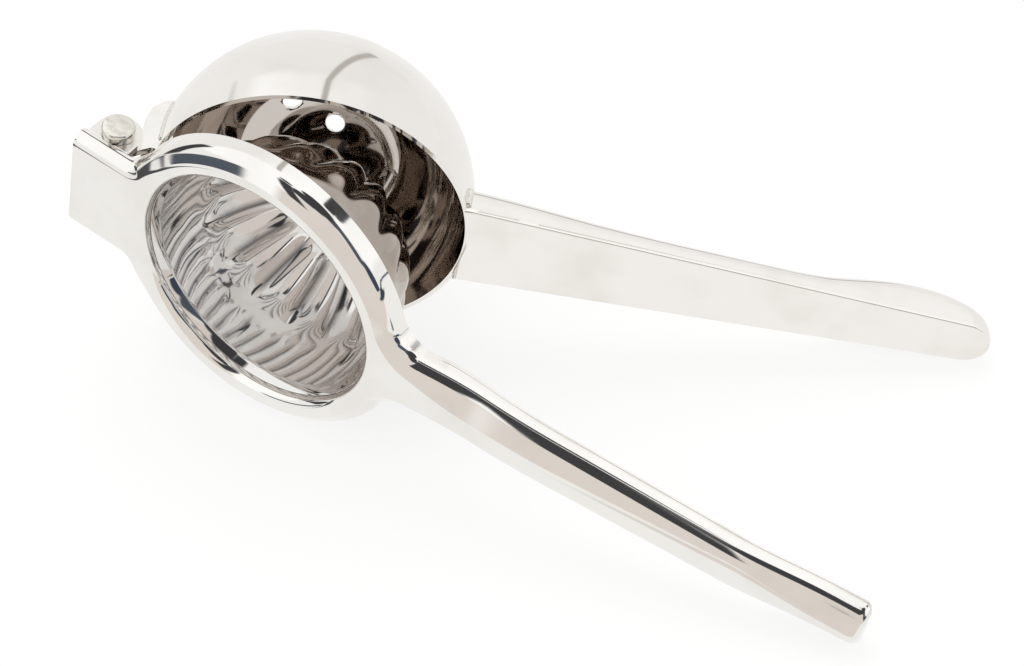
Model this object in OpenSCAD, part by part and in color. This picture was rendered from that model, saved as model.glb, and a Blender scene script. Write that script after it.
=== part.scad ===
// Hinged citrus squeezer of polished steel sheet, lying open on its side.
// Each half is drawn closed: X runs from the hinge to the handles, Y = 0 is the parting plane
// with the press at -Y and the cup at +Y, and Z is the hinge axis. lie() opens and leans a half.

/* [Pose] */
// Angle between the two halves as the tool lies open
open_angle = 27.2; // [22:0.1:34]

/* [Press ring] */
// Outer radius of the press ring
rim_r = 41; // [36:0.1:48]
// Width of the ring around its opening
ring_w = 8; // [7.6:0.1:10]
// Distance from the hinge axis to the ring's outer edge
hinge_gap = 7.3; // [7.2:0.1:10]
// Height of the front face over the parting plane
face_h = 8.4; // [8:0.1:9.4]
// Round of the outer edge
rim_round = 3; // [2.2:0.1:3.4]
// Round of the lip around the opening
lip_round = 3.1; // [2.2:0.1:3.4]
// Length of the straight collar behind the lip
lip_collar = 2; // [1:0.1:3]
// Thickness of the press half's sheet
sheet = 1.8; // [1.4:0.1:2]
// Space between the ring's back edge and the parting plane
edge_gap = 0.2; // [0.1:0.1:1]
// Radius of the hollow between the ring and the handle
neck_r = 9; // [6:0.5:14]

/* [Hinge] */
// Height of the hinge tab over its two ears
tab_w = 31.2; // [29:0.1:33]
// Distance that the tab's front reaches past the hinge axis
tab_end = 7; // [6.6:0.1:8]
// Round of the tab's long edges
tab_round = 3; // [2.2:0.1:3.6]
// Depth of the tab's edge between an ear and the ring
tab_d = 4.2; // [3.6:0.1:5]
// Radius of an ear around the rivet
ear_r = 6.1; // [5:0.1:6.4]
// Radius of the rivet's shank
rivet_r = 3; // [2:0.1:3.4]
// Radius of the rivet's heads
head_r = 4.2; // [3.8:0.1:5]
// Height of each rivet head
head_h = 2.5; // [1.5:0.1:3]
// Radial clearance of the shank in its holes
run_gap = 0.05; // [0.02:0.01:0.1]
// Clearance between an ear and the bracket inside it
side_gap = 0.3; // [0.2:0.1:0.6]

/* [Dome] */
// Space between the dome's pole and the bottom of the closed cup
dome_gap = 11.5; // [8:0.1:16]
// Height of the dome's straight wall over the parting plane
dome_wall = 3; // [2:0.1:4]
// Height of the dome's edge over the parting plane
dome_edge = 5; // [4.5:0.1:5.2]
// Thickness of the dome's sheet
dome_sheet = 1.2; // [0.8:0.1:1.4]
// Number of flutes
flutes = 16; // [12:2:18]
// Depth of a flute from crest to valley
flute_h = 1.9; // [1:0.1:2.4]
// Angle from the dome's pole to the start of the flutes
flute_top = 27; // [22:1:32]
// Angle from the dome's pole to the end of the flutes
flute_end = 70; // [64:1:76]

/* [Cup] */
// Step from the ring's edge in to the cup's
rim_step = 0.4; // [0:0.1:1]
// Thickness of the cup's sheet
cup_sheet = 1.2; // [0.8:0.1:1.6]
// Depth of the straight wall behind the cup's rim
collar = 6.5; // [5:0.1:9]
// Number of drain holes
drains = 6; // [4:1:8]
// Diameter of a drain hole
drain_d = 5.2; // [3:0.1:6]
// Angle from the cup's pole to the drain holes
drain_angle = 19; // [15:1:30]
// Turn of the first drain hole about the cup's axis
drain_turn = 36; // [0:1:60]

/* [Hinge bracket] */
// Thickness of the bracket's sheet
bracket_sheet = 1.8; // [1.2:0.1:2]
// Radius of the bracket's eye around the rivet
eye_r = 5.4; // [4.8:0.1:5.6]
// Space between the bracket's web and the cup's wall
web_gap = 0.6; // [0.3:0.1:0.8]
// Depth of the bracket along the cup's wall
cheek_d = 16.2; // [13:0.1:19]
// Radius of the weld beads
bead_r = 1.1; // [0.8:0.1:1.4]

/* [Press handle] */
// Distance from the hinge axis to the end of the press handle
press_end = 215.5; // [200:0.5:225]
// Half height of the press handle at the ring
press_root_h = 8.8; // [8:0.1:10]
// Half height of the press handle at its end
press_tip_h = 6.2; // [5.8:0.1:7]
// Depth of the press handle at the ring
press_root_d = 9.6; // [9:0.1:10.5]
// Depth of the press handle at its waist
press_waist_d = 7; // [6.5:0.1:8]
// Depth of the press handle at its end
press_tip_d = 8.1; // [7.5:0.1:8.6]
// Distance from the hinge axis to the press handle's waist
press_waist = 182; // [170:1:190]
// Distance from the hinge axis to the middle of the bend
bend_at = 125; // [120:1:135]
// Length of the bend
bend_len = 20; // [10:1:26]
// Angle that the press handle bends towards the cup
bend = 5.7; // [3:0.1:6]
// Round of the press handle's long edges
press_round = 5; // [3.5:0.1:5.4]
// Thickness of the plates that close the handles
plate_t = 1.2; // [0.8:0.1:1.5]

/* [Cup handle] */
// Distance from the hinge axis to the tip of the cup handle
cup_end = 221; // [212:0.5:230]
// Half height of the cup handle at the cup
cup_root_h = 12.7; // [11:0.1:13]
// Half height of the cup handle at its round tip
cup_tip_h = 6.5; // [6:0.1:7.5]
// Depth of the cup handle's shell at the cup
cup_root_d = 8.4; // [7.5:0.1:9.5]
// Depth of the cup handle's shell at its waist
cup_waist_d = 5.7; // [5:0.1:6.5]
// Depth of the cup handle's shell at the palm swell
cup_swell_d = 10.3; // [9:0.1:11]
// Distance from the hinge axis to the start of the waist
waist_start = 143; // [136:1:146]
// Distance from the hinge axis to the end of the waist
waist_end = 168; // [160:1:172]
// Distance from the hinge axis to the top of the palm swell
swell_at = 201; // [192:1:206]
// Round of the shell's back edges
shell_round = 4; // [2.5:0.1:4.4]
// Thickness of the cup handle's shell
shell_sheet = 1.3; // [1:0.1:1.6]

/* [Hidden] */
$fn = 96;
half = open_angle / 2;
far = 300;
weld_gap = 0.05;
arc_steps = 5;

// Ring, cup and dome
opening_r = rim_r - ring_w;
cup_r = rim_r - rim_step;
reach = rim_r + hinge_gap;
dome_depth = collar + cup_r - cup_sheet - dome_gap;
web_x = reach - cup_r - web_gap - bracket_sheet;

function mix(a, b, share) = a + (b - a) * share;
function ease(share) = (1 - cos(180 * min(1, max(0, share)))) / 2;
// Points of a quarter circle from one angle to the next
function quarter(middle, r, from) = [for (i = [0 : arc_steps])
    middle + r * [cos(from + 90 * i / arc_steps), sin(from + 90 * i / arc_steps)]];
// Section of two numbers, Y and Z, as points at a distance along X
function at_x(x, section) = [for (p = section) [x, p[0], p[1]]];

// Tab
tab_h = tab_w / 2;
tab_root = reach - opening_r - lip_round - 0.2;
cheek_out = tab_h - sheet - side_gap;
collar_low = face_h - lip_round - lip_collar;

// Neck between the ring and the press handle
neck_h = press_root_h + neck_r;
neck_end = reach + sqrt(pow(rim_r + neck_r, 2) - neck_h * neck_h);

// Press handle
end_round = 1.4;
bend_start = bend_at - bend_len / 2;
bend_run = max(bend_len, 1);
function press_front(x) = -face_h + tan(bend) * (x < bend_start ? 0
    : x < bend_start + bend_run ? pow(x - bend_start, 2) / (2 * bend_run)
    : x - bend_start - bend_run / 2);
function press_depth(x) = x < press_waist
    ? mix(press_root_d, press_waist_d, (x - neck_end) / (press_waist - neck_end))
    : mix(press_waist_d, press_tip_d, ease((x - press_waist) / (press_end - 8 - press_waist)));
function press_back(x) = mix(-edge_gap, press_front(x) + press_depth(x), ease((x - neck_end) / 9));
function press_half(x) = mix(press_root_h, press_tip_h, (x - neck_end) / (press_end - neck_end));
function press_corner(x) = mix(rim_round, press_round, ease((x - neck_end) / 14));
// Inset of the handle's end face from its sides
function end_inset(x) = x < press_end - end_round ? 0
    : end_round - sqrt(max(0, end_round * end_round - pow(x - press_end + end_round, 2)));
press_steps = 30;
press_hollow = press_end - sheet;
press_xs = [for (i = [0 : press_steps]) mix(neck_end, press_end - end_round, i / press_steps)];
press_ends = [for (i = [1 : 3]) press_end - end_round * (1 - sin(30 * i))];
function press_part(from, to) = concat([from], [for (x = press_xs) if (x > from + 1 && x < to - 1) x], [to]);

// Cup handle
cup_tip = cup_end - cup_tip_h;
root_x = reach + cup_r * 0.8;
cup_steps = 26;
function cup_depth(x, inset) = x < swell_at
    ? mix(mix(cup_root_d, cup_waist_d, ease((x - root_x) / (waist_start - root_x))),
        cup_swell_d, ease((x - waist_end) / (swell_at - waist_end))) - inset
    : (cup_swell_d - inset) * sqrt(max(0, 1 - pow((x - swell_at) / (cup_end - inset - swell_at), 2)));
function cup_half(x, inset) = x < cup_tip
    ? mix(cup_root_h, cup_tip_h, (x - reach - cup_r) / (cup_tip - reach - cup_r)) - inset
    : sqrt(max(0, pow(cup_tip_h - inset, 2) - pow(x - cup_tip, 2)));
function cup_xs(inset) = concat([for (i = [0 : cup_steps]) mix(root_x, cup_tip, i / cup_steps)],
    [for (i = [1 : 6]) cup_tip + (cup_tip_h - inset) * sin(14.5 * i)]);

// Cup wall
function wall_x(depth, height) =
    reach - sqrt(cup_r * cup_r - pow(max(0, depth - collar), 2) - height * height);

// Dome, in rows that each hold an angle from the pole and a rise of the straight wall
dome_steps = 13;
dome_rows = concat([for (i = [0 : dome_steps]) [mix(4, 90, i / dome_steps), 0]], [[90, dome_edge - dome_wall]]);
dome_turns = flutes * 4;
function bulge(polar, turn) = flute_h * ease((polar - flute_top) / 12) * ease((flute_end - polar) / 12)
    * (abs(sin(flutes / 2 * turn)) - 0.4);
function dome_loop(row, inset) = [for (i = [0 : dome_turns - 1]) let (
        turn = -360 * i / dome_turns,
        swell = bulge(row[0], turn) - inset,
        r = (opening_r - weld_gap + swell) * sin(row[0]))
    [r * cos(turn), r * sin(turn), dome_wall + row[1] - (dome_depth + dome_wall + swell) * cos(row[0])]];

// Lean at which the ring and the end of the press handle both touch the table
end_x = (press_end - end_round / 2) * cos(half) + press_back(press_end) * sin(half) - reach * cos(half);
low_r = rim_r * 0.9988;
lean = asin(low_r / norm([end_x, press_tip_h])) - atan(press_tip_h / end_x);
// Height of the hinge's middle over the table
hinge_z = reach * cos(half) * sin(lean) + rim_r * sqrt(1 - pow(sin(half) * sin(lean), 2));
// Ends of the lying tool, measured from the hinge's middle
x_min = -cos(lean) * (tab_end * cos(half) + (face_h - tab_round) * sin(half))
    - sin(lean) * (tab_h - tab_round) - tab_round * norm([cos(lean) * sin(half), sin(lean)]);
x_max = cos(lean) * (cup_tip * cos(half) + plate_t * sin(half))
    + cup_tip_h * norm([cos(lean) * cos(half), sin(lean)]);
y_min = -press_end * sin(half) + press_front(press_end) * cos(half);
y_max = reach * sin(half) + collar * cos(half) + cup_r;

// Opens a half by an angle and lays it down on the table
module lie(turn) {
    translate([-(x_min + x_max) / 2, -(y_min + y_max) / 2, hinge_z])
        rotate([0, lean, 0]) rotate([0, 0, turn]) children();
}

// Puts a shape drawn about Z onto the middle of the ring, with +Z towards the press's front
module on_ring() {
    translate([reach, 0, 0]) rotate([90, 0, 0]) children();
}

// Puts a shape drawn about Z onto the middle of the cup, with +Z towards the cup's pole
module on_cup() {
    translate([reach, 0, 0]) rotate([-90, 0, 0]) children();
}

// Draws a flat shape across the hinge axis, between two heights
module across(low, high) {
    translate([0, 0, low]) linear_extrude(high - low) children();
}

// Solid through a row of equal loops of points, closed by its first and last loop
module loft(loops) {
    n = len(loops[0]);
    last = (len(loops) - 1) * n;
    sides = [for (i = [0 : len(loops) - 2]) for (j = [0 : n - 1]) for (upper = [0, 1])
        upper == 0 ? [i * n + j, (i + 1) * n + j, (i + 1) * n + (j + 1) % n]
        : [i * n + j, (i + 1) * n + (j + 1) % n, i * n + (j + 1) % n]];
    caps = [[for (j = [0 : n - 1]) j], [for (j = [0 : n - 1]) last + n - 1 - j]];
    polyhedron([for (loop = loops) each loop], concat(sides, caps));
}

// Half section of the ring's outline, inset by some sheet, down to a height
module ring_half(inset, low) {
    inner = opening_r + inset;
    outer = rim_r - inset;
    top = face_h - inset;
    lip = lip_round - inset;
    edge = rim_round - inset;
    translate([inner + lip, low]) square([outer - edge - inner - lip, top - low]);
    translate([inner, low]) square([lip, top - lip - low]);
    translate([outer - edge, low]) square([edge, top - edge - low]);
    translate([inner + lip, top - lip]) circle(lip);
    translate([outer - edge, top - edge]) circle(edge);
}

// End view of the tab, with the front at -Y
module tab_section(inset) {
    side = tab_h - inset;
    r = tab_round - inset;
    front = -face_h + inset;
    translate([front + r, -side]) square([far, 2 * side]);
    translate([front, -side + r]) square([far, 2 * (side - r)]);
    for (s = [-1, 1]) translate([front + r, s * (side - r)]) circle(r);
}

module tab_bar(inset, from, to) {
    rotate([90, 0, 90]) translate([0, 0, from]) linear_extrude(to - from) tab_section(inset);
}

// Outline of the tab and its ear, seen along the hinge axis
module tab_side() {
    translate([-tab_end, -face_h - 1]) square([tab_end + tab_root, tab_d + 1]);
    translate([-ear_r, -face_h + 1]) square([2 * ear_r, face_h - 1]);
    circle(ear_r);
}

// Neck that runs out from the ring to the handle, with hollow sides and round edges.
// Its sides reach a little into the ring, so that the two cross at a clean edge.
module neck(inset, low) {
    top = face_h - inset;
    edge = rim_round - inset;
    hollow = neck_r + weld_gap + inset * 1.15;
    difference() {
        on_ring() translate([0, 0, low]) linear_extrude(top - low) difference() {
            polygon([[0, 0], [neck_end - reach, neck_h], [neck_end - reach, -neck_h]]);
            circle(opening_r + lip_round);
        }
        for (s = [-1, 1]) translate([neck_end, 0, s * neck_h]) rotate([90, 0, 0]) rotate_extrude() {
            translate([0, low - 1]) square([hollow, top - low + 2]);
            difference() {
                translate([hollow - 0.5, top - edge]) square([edge + 0.5, edge + 1]);
                translate([hollow + edge, top - edge]) circle(edge);
            }
        }
    }
}

// Section of the press handle, open at the back where it is inset
function press_section(x, inset) = let (
        side = press_half(x) - inset - end_inset(x),
        front = press_front(x) + inset + end_inset(x),
        back = press_back(x) + (inset > 0 ? 1 : -end_inset(x)),
        r = press_corner(x) - inset)
    concat([[back, -side], [back, side]],
        quarter([front + r, side - r], r, 90), quarter([front + r, -side + r], r, 180));

// Section of the cup handle's shell, open at the front where it is inset
function cup_section(x, inset) = let (
        side = cup_half(x, inset),
        back = cup_depth(x, inset),
        front = inset > 0 ? -1 : 0,
        r = max(0.2, min(shell_round - inset, back * 0.6, side * 0.8)))
    concat([[front, side], [front, -side]],
        quarter([back - r, -side + r], r, 270), quarter([back - r, side - r], r, 0));

// Solid of the cup's outline, inset by some sheet, from a depth down
module cup_body(inset, low) {
    $fn = 240;
    r = cup_r - inset;
    on_cup() rotate_extrude() {
        translate([0, low]) square([r, collar - low]);
        intersection() {
            translate([0, collar]) circle(r);
            translate([0, collar]) square(r);
        }
    }
}

// Outline of the bracket seen along the hinge axis, out to a radius around the rivet
module bracket_side(eye) {
    circle(eye);
    polygon([[0, -eye], [web_x + 3, -1], [reach - cup_r + 6, -1], [reach - cup_r + 6, cheek_d],
        [web_x + 5.6, cheek_d], [web_x + 1, cheek_d - 3.5], [web_x, cheek_d - 8], [web_x, eye - 0.6], [0, eye]]);
}

module press_frame() {
    color("silver") lie(-half) difference() {
        union() {
            on_ring() rotate_extrude() ring_half(0, edge_gap);
            intersection() {
                tab_bar(0, -tab_end, tab_root);
                across(-tab_h, tab_h) tab_side();
            }
            neck(0, edge_gap);
            loft([for (x = concat(press_xs, press_ends)) at_x(x, press_section(x, 0))]);
        }
        on_ring() rotate_extrude() {
            ring_half(sheet, -1);
            translate([opening_r - 1, -1]) square([sheet + 2, collar_low + 1]);
        }
        tab_bar(sheet, -tab_end - 1, tab_root);
        neck(sheet, -1);
        loft([for (x = press_part(neck_end - 0.5, press_hollow)) at_x(x, press_section(x, sheet))]);
        cylinder(r = rivet_r + run_gap, h = far, center = true);
    }
}

module press_dome() {
    color("gainsboro") lie(-half) on_ring() loft(concat(
        [for (row = dome_rows) dome_loop(row, dome_sheet)],
        [for (i = [len(dome_rows) - 1 : -1 : 0]) dome_loop(dome_rows[i], 0)]));
}

// Bead between the ring's collar and the back of the dome
module dome_weld() {
    color("darkgray") lie(-half) on_ring() rotate_extrude() intersection() {
        translate([opening_r, collar_low]) circle(bead_r);
        translate([opening_r, 0]) square([sheet, collar_low]);
    }
}

// Plate that closes the back of the press handle between its edges
module press_handle_plate() {
    color("lightgray") lie(-half)
        loft([for (x = press_part(neck_end + 2, press_hollow - weld_gap)) let (
                side = press_half(x) - sheet - weld_gap,
                back = press_back(x))
            at_x(x, [[back, -side], [back, side], [back - plate_t, side], [back - plate_t, -side]])]);
}

// Rivet with a low round head on each ear
module hinge_rivet() {
    cap = head_h * 0.6;
    round_r = (head_r * head_r + cap * cap) / (2 * cap);
    color("darkkhaki") lie(-half) for (side = [0, 1]) mirror([0, 0, side]) rotate_extrude() {
        square([rivet_r, tab_h]);
        translate([0, tab_h]) intersection() {
            translate([0, head_h - round_r]) circle(round_r);
            square([head_r, head_h + 1]);
        }
    }
}

module cup() {
    color("silver") lie(half) difference() {
        cup_body(0, 0);
        cup_body(cup_sheet, -1);
        on_cup() translate([0, 0, collar]) for (i = [0 : drains - 1])
            rotate([0, drain_angle, -drain_turn - i * 360 / drains])
                translate([0, 0, cup_r - cup_sheet * 3]) cylinder(d = drain_d, h = cup_sheet * 5);
    }
}

// Folded bracket whose two cheeks turn on the rivet inside the ears
module cup_bracket() {
    color("gainsboro") lie(half) difference() {
        across(-cheek_out, cheek_out) bracket_side(eye_r);
        across(-cheek_out + bracket_sheet, cheek_out - bracket_sheet) difference() {
            circle(far);
            intersection() {
                bracket_side(eye_r);
                difference() {
                    translate([web_x - 1, eye_r - 0.6]) square(far);
                    translate([bracket_sheet, 0]) bracket_side(eye_r);
                }
            }
        }
        cup_body(-weld_gap, -5);
        cylinder(r = rivet_r + run_gap, h = far, center = true);
    }
}

// Beads along the outside of the bracket's cheeks, on the cup's wall
module bracket_weld() {
    top = 2;
    low = cheek_d - 1;
    dx = wall_x(low, cheek_out) - wall_x(top, cheek_out);
    color("dimgray") lie(half) difference() {
        for (s = [-1, 1]) translate([wall_x(top, cheek_out), top, s * cheek_out])
            rotate([0, 90, atan2(low - top, dx)]) cylinder(r = bead_r, h = norm([dx, low - top]));
        cup_body(-weld_gap, -5);
        across(-cheek_out - weld_gap, cheek_out + weld_gap) square(far, center = true);
    }
}

// Hollow back of the cup handle
module cup_handle_shell() {
    color("silver") lie(half) difference() {
        loft([for (x = cup_xs(0)) at_x(x, cup_section(x, 0))]);
        loft([for (x = cup_xs(shell_sheet)) at_x(x, cup_section(x, shell_sheet))]);
        cup_body(-weld_gap, -5);
    }
}

// Flat plate that closes the cup handle on the press's side
module cup_handle_plate() {
    color("lightgray") lie(half) rotate([90, 0, 0]) linear_extrude(plate_t) difference() {
        union() {
            polygon([[root_x, -cup_half(root_x, 0)], [cup_tip, -cup_tip_h], [cup_tip, cup_tip_h],
                [root_x, cup_half(root_x, 0)]]);
            translate([cup_tip, 0]) circle(cup_tip_h);
        }
        translate([reach, 0]) circle(cup_r + weld_gap);
    }
}

// Beads where the sides of the cup handle meet the cup's wall
module cup_handle_weld() {
    corner = reach + sqrt(cup_r * cup_r - cup_root_h * cup_root_h);
    color("dimgray") lie(half) difference() {
        for (s = [-1, 1]) translate([corner, 0, s * cup_half(corner, 0)])
            rotate([-90, 0, 0]) cylinder(r = bead_r, h = collar);
        cup_body(-weld_gap, -5);
        rotate([90, 0, 0]) translate([0, 0, -far / 2]) linear_extrude(far) polygon([
            [root_x, -cup_half(root_x, 0) - weld_gap], [cup_tip, -cup_tip_h - weld_gap],
            [cup_tip, cup_tip_h + weld_gap], [root_x, cup_half(root_x, 0) + weld_gap]]);
    }
}

press_frame();
press_dome();
dome_weld();
press_handle_plate();
hinge_rivet();
cup();
cup_bracket();
bracket_weld();
cup_handle_shell();
cup_handle_plate();
cup_handle_weld();
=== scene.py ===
import math
import bmesh
import bpy
from mathutils import Matrix, Vector, noise


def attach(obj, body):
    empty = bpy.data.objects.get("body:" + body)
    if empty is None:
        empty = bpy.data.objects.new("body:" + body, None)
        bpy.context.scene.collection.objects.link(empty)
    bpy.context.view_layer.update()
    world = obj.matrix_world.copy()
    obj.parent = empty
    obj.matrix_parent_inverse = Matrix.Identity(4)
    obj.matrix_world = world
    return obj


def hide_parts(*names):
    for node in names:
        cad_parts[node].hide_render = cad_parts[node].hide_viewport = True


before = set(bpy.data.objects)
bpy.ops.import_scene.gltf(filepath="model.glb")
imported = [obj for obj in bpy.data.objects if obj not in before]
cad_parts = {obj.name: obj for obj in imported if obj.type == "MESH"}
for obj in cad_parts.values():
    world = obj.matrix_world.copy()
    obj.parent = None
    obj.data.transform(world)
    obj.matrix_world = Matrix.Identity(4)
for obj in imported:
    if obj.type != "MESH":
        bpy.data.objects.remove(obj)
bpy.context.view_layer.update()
print("frame loaded")

# Each half is drawn closed, in millimetres: X runs from the hinge to the handles, the press is at -Y,
# the cup at +Y, and Z is the hinge's axis. layDown opens a half and puts it on the table, in metres.
pose = {"openAngle": 27.2, "lean": 12.293, "hinge": (-99.3982, -4.10867, 50.9439)}
perMetre = 1000
mergeGap = 0.0005  # vertices closer than this become one
near = 0.001  # how exactly a vertex is picked by its place
groundShare = 0.12  # what a ground rim leaves of the sheet's thickness


def layDown(turn):
    return (Matrix.Scale(1 / perMetre, 4) @ Matrix.Translation(pose["hinge"])
            @ Matrix.Rotation(math.radians(pose["lean"]), 4, "Y")
            @ Matrix.Rotation(math.radians(turn), 4, "Z"))


pressLay = layDown(-pose["openAngle"] / 2)
cupLay = layDown(pose["openAngle"] / 2)


def mix(a, b, share):
    return a + (b - a) * share


def clamp(share):
    return min(1, max(0, share))


def ease(share):
    return (1 - math.cos(math.pi * clamp(share))) / 2


def quarterTurn(steps, first=0):
    # angles up to a right angle
    return [k / steps * math.pi / 2 for k in range(first, steps + 1)]


# mesh helpers: a row is a chain of vertices, and a sheet grows row by row

def rowEdges(bm, row, closed=False):
    return [bm.edges.get(pair) for pair in zip(row, row[1:] + (row[:1] if closed else []))]


def rowAfter(bm, row, closed=False):
    # extrudes a row and gives the new one in the same order
    made = bmesh.ops.extrude_edge_only(bm, edges=rowEdges(bm, row, closed))["geom"]
    fresh = {v for v in made if isinstance(v, bmesh.types.BMVert)}
    return [next(e.other_vert(v) for e in v.link_edges if e.other_vert(v) in fresh) for v in row]


def placeRow(row, spots):
    for v, spot in zip(row, spots):
        v.co = spot


def startRow(bm, spots):
    row = []
    for spot in spots:
        row.append(bm.verts.new(spot))
        if len(row) > 1:
            bm.edges.new(row[-2:])
    return row


def sweep(bm, row, places):
    # one extrusion for each list of places
    rows = [row]
    for spots in places:
        rows.append(rowAfter(bm, rows[-1]))
        placeRow(rows[-1], spots)
    return rows


def spunShell(bm, profile, around):
    # a profile of radius and height, turned about Z
    row = startRow(bm, [Vector((r, 0, h)) for r, h in profile])
    bmesh.ops.spin(bm, geom=row + rowEdges(bm, row), cent=(0, 0, 0), axis=(0, 0, 1),
                   angle=2 * math.pi, steps=around, use_merge=True)
    bmesh.ops.remove_doubles(bm, verts=bm.verts, dist=mergeGap)


def mirrorHalf(bm, gap=mergeGap):
    # the lower half, from the upper one
    bmesh.ops.mirror(bm, geom=bm.verts[:] + bm.edges[:] + bm.faces[:], axis="Z", merge_dist=mergeGap)
    bmesh.ops.remove_doubles(bm, verts=bm.verts, dist=gap)


def faceOut(bm, direction):
    # on an open shell, the face that lies furthest along the direction has to look that way
    bmesh.ops.recalc_face_normals(bm, faces=bm.faces)
    direction = Vector(direction)
    bm.normal_update()
    last = max(bm.faces, key=lambda f: f.calc_center_median().dot(direction))
    if last.normal.dot(direction) < 0:
        bmesh.ops.reverse_faces(bm, faces=bm.faces)


def finishPiece(bm, name, lay, body, node, finish, wall=None, edge=0.25, edgeAngle=40,
                ground=None, inside=None):
    bm.transform(lay)
    mesh = bpy.data.meshes.new(name)
    bm.to_mesh(mesh)
    bm.free()
    mesh.polygons.foreach_set("use_smooth", [True] * len(mesh.polygons))
    for each in finish:
        mesh.materials.append(steels[each])
    piece = bpy.data.objects.new(name, mesh)
    bpy.context.scene.collection.objects.link(piece)
    if wall:
        solid = piece.modifiers.new("wall", "SOLIDIFY")
        solid.thickness = wall / perMetre
        solid.offset = -1
        solid.use_even_offset = False
        if inside:  # the sheet's inner side has a finish of its own
            mesh.materials.append(steels[inside])
            solid.material_offset = 1
        if ground:  # vertices where the sheet is ground thin
            full = piece.vertex_groups.new(name="full")
            full.add([i for i in range(len(mesh.vertices)) if i not in ground], 1, "REPLACE")
            solid.vertex_group = "full"
            solid.thickness_vertex_group = groundShare
    if edge:
        bevel = piece.modifiers.new("edge", "BEVEL")
        bevel.width = edge / perMetre
        bevel.segments = 2
        bevel.limit_method = "ANGLE"
        bevel.angle_limit = math.radians(edgeAngle)
    weighted = piece.modifiers.new("normals", "WEIGHTED_NORMAL")
    weighted.keep_sharp = False
    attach(piece, body)
    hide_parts(node)
    print("made", name)


# shader helpers

class Wire:
    # a socket whose arithmetic adds Math nodes
    def __init__(self, bench, socket):
        self.bench = bench
        self.socket = socket

    def combine(self, operation, first, second):
        return self.bench.wire("Math", {"operation": operation}, {0: first, 1: second})

    def __add__(self, other):
        return self.combine("ADD", self, other)

    def __radd__(self, other):
        return self.combine("ADD", other, self)

    def __sub__(self, other):
        return self.combine("SUBTRACT", self, other)

    def __rsub__(self, other):
        return self.combine("SUBTRACT", other, self)

    def __mul__(self, other):
        return self.combine("MULTIPLY", self, other)

    def __rmul__(self, other):
        return self.combine("MULTIPLY", other, self)


# the Mix node has sockets for each data type, and these are the ones for colours
colourMix = {"share": 0, "first": 6, "second": 7, "result": 2}


class Bench:
    # adds nodes to one tree
    def __init__(self, tree):
        self.tree = tree
        tree.nodes.clear()

    def add(self, kind, settings=None, sockets=None):
        made = self.tree.nodes.new("ShaderNode" + kind)
        for name, value in (settings or {}).items():
            setattr(made, name, value)
        for key, value in (sockets or {}).items():
            if isinstance(value, Wire):
                self.tree.links.new(value.socket, made.inputs[key])
            else:
                made.inputs[key].default_value = value
        return made

    def wire(self, kind, settings=None, sockets=None, output=0):
        return Wire(self, self.add(kind, settings, sockets).outputs[output])

    def spread(self, value, low, high, lowTo=0.0, highTo=1.0):
        return self.wire("MapRange", {"interpolation_type": "SMOOTHSTEP"},
                         {"Value": value, "From Min": low, "From Max": high, "To Min": lowTo, "To Max": highTo})

    def dot(self, way, direction):
        return self.wire("VectorMath", {"operation": "DOT_PRODUCT"}, {0: way, 1: direction}, "Value")

    def blendColours(self, share, first, second):
        return self.wire("Mix", {"data_type": "RGBA"},
                         {colourMix["share"]: share, colourMix["first"]: first, colourMix["second"]: second},
                         colourMix["result"])


def newMaterial(name):
    material = bpy.data.materials.new(name)
    material.use_nodes = True
    return material, Bench(material.node_tree)


# what all the sheets share: patches where the polish is thinner, small pits, and the colour and strength of the
# shade painted into the dome's creases
sheetWearAndShade = {"patchScale": 55, "patchFrom": 0.42, "patchFull": 0.72, "patchTint": 0.7,
             "pitScale": 420, "pitEdge": 0.10, "pitMiddle": 0.02, "pitDepth": 0.6, "pitTint": 0.2,
             "grainRough": 0.02, "creaseShadeStrength": 0.85, "paintedCreaseShade": (0.1, 0.1, 0.11, 1)}


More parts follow.
